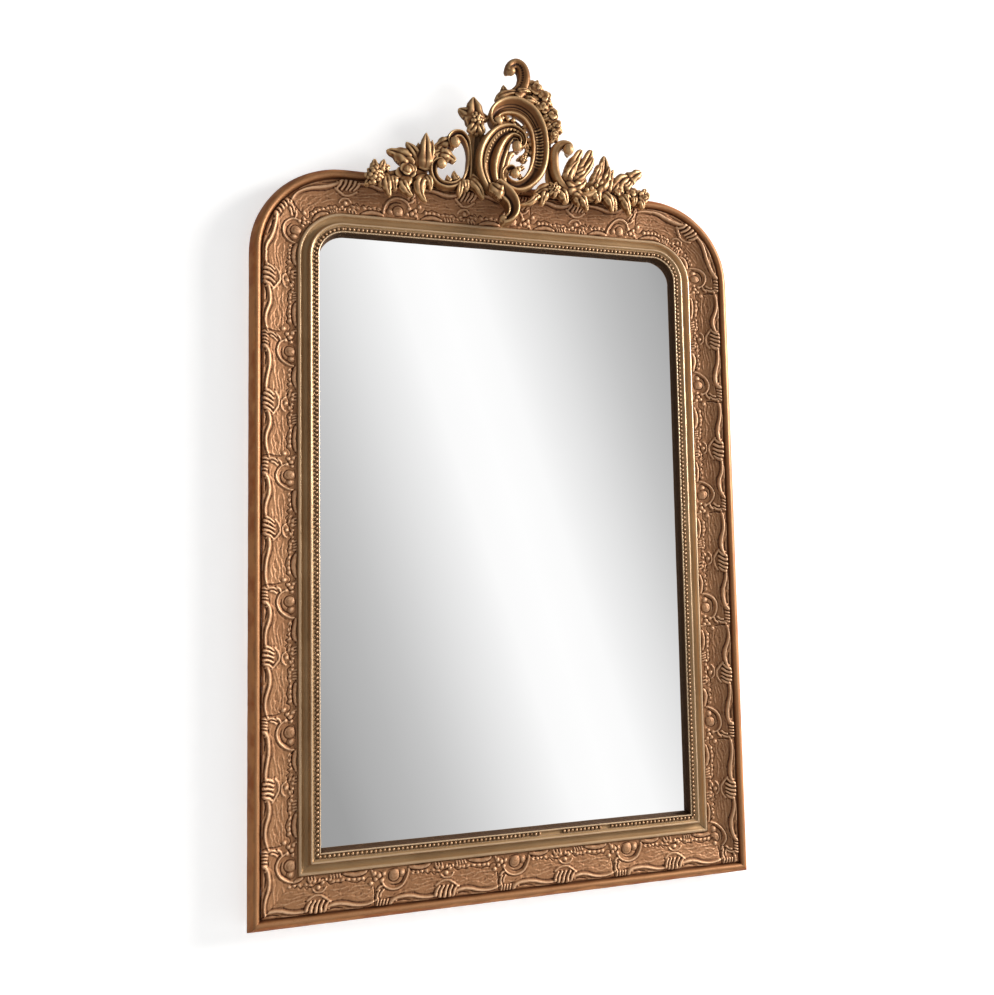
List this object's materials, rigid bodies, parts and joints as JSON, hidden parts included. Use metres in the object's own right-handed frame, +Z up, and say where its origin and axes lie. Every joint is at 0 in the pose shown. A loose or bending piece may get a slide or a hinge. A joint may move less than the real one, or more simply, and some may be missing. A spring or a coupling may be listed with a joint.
{
  "type": "trumeau mirror",
  "caption": "Tall wall mirror in a gilded frame with rounded top corners, a moulded ornament band, a pearl border and a pierced scroll crest.",
  "frame": {"origin": "on the back face of the top rail, midway between the two hanging rings and level with their pivots", "axes": "+X to the right seen from the front, +Y backwards to the wall, +Z up; the front faces -Y"},
  "size_m": [0.984, 0.083, 1.6435],
  "materials": {
    "softwood": "planed and aged softwood, unfinished",
    "pearl_gilt": "gilded moulded composition, worn",
    "cove_gilt": "gilded gesso, pale and burnished, worn",
    "band_gilt": "gilded moulded composition, copper gold with dark recesses",
    "bead_gilt": "gilded gesso over red bole, worn through on the flank",
    "crest_gilt": "gilded composition, yellow gold with dark recesses",
    "silvered_glass": "silvered plate glass",
    "iron": "dark forged iron with a little rust"
  },
  "bodies": {
    "frame": {"left_stile_core": "softwood", "right_stile_core": "softwood", "bottom_rail_core": "softwood", "top_rail_core": "softwood", "top_left_corner_core": "softwood", "top_right_corner_core": "softwood", "left_stile_sight_strip": "pearl_gilt", "right_stile_sight_strip": "pearl_gilt", "bottom_rail_sight_strip": "pearl_gilt", "top_rail_sight_strip": "pearl_gilt", "top_left_corner_sight_strip": "pearl_gilt", "top_right_corner_sight_strip": "pearl_gilt", "left_stile_cove_moulding": "cove_gilt", "right_stile_cove_moulding": "cove_gilt", "bottom_rail_cove_moulding": "cove_gilt", "top_rail_cove_moulding": "cove_gilt", "top_left_corner_cove_moulding": "cove_gilt", "top_right_corner_cove_moulding": "cove_gilt", "left_stile_ornament_band": "band_gilt", "right_stile_ornament_band": "band_gilt", "bottom_rail_ornament_band": "band_gilt", "top_rail_ornament_band": "band_gilt", "top_left_corner_ornament_band": "band_gilt", "top_right_corner_ornament_band": "band_gilt", "left_stile_outer_moulding": "bead_gilt", "right_stile_outer_moulding": "bead_gilt", "bottom_rail_outer_moulding": "bead_gilt", "top_rail_outer_moulding": "bead_gilt", "top_left_corner_outer_moulding": "bead_gilt", "top_right_corner_outer_moulding": "bead_gilt", "mirror_glass": "silvered_glass", "back_board_1": "softwood", "back_board_2": "softwood", "back_board_3": "softwood", "back_board_4": "softwood", "left_hanger_plate": "iron", "right_hanger_plate": "iron", "left_hanger_screw_1": "iron", "left_hanger_screw_2": "iron", "right_hanger_screw_1": "iron", "right_hanger_screw_2": "iron", "crest_bracket": "softwood", "crest_bracket_screw_1": "iron", "crest_bracket_screw_2": "iron", "left_crest_strap": "iron", "right_crest_strap": "iron", "left_strap_screw": "iron", "right_strap_screw": "iron", "crest_inner_scroll": "crest_gilt", "crest_big_scroll": "crest_gilt", "crest_plume": "crest_gilt", "crest_rose_spray": "crest_gilt", "crest_left_flower": "crest_gilt", "crest_left_scroll": "crest_gilt", "crest_right_scroll": "crest_gilt", "crest_left_spray": "crest_gilt", "crest_right_spray": "crest_gilt", "crest_lattice": "crest_gilt"},
    "left_ring": {"left_hanger_ring": "iron"},
    "right_ring": {"right_hanger_ring": "iron"}
  },
  "joints": [
    {"name": "left_ring_swing", "type": "hinge", "parent": "frame", "child": "left_ring", "pos_m": [-0.27, 0.006, 0], "axis": [1, 0, 0], "range_deg": [-5, 180]},
    {"name": "right_ring_swing", "type": "hinge", "parent": "frame", "child": "right_ring", "pos_m": [0.27, 0.006, 0], "axis": [1, 0, 0], "range_deg": [-5, 180]}
  ]
}
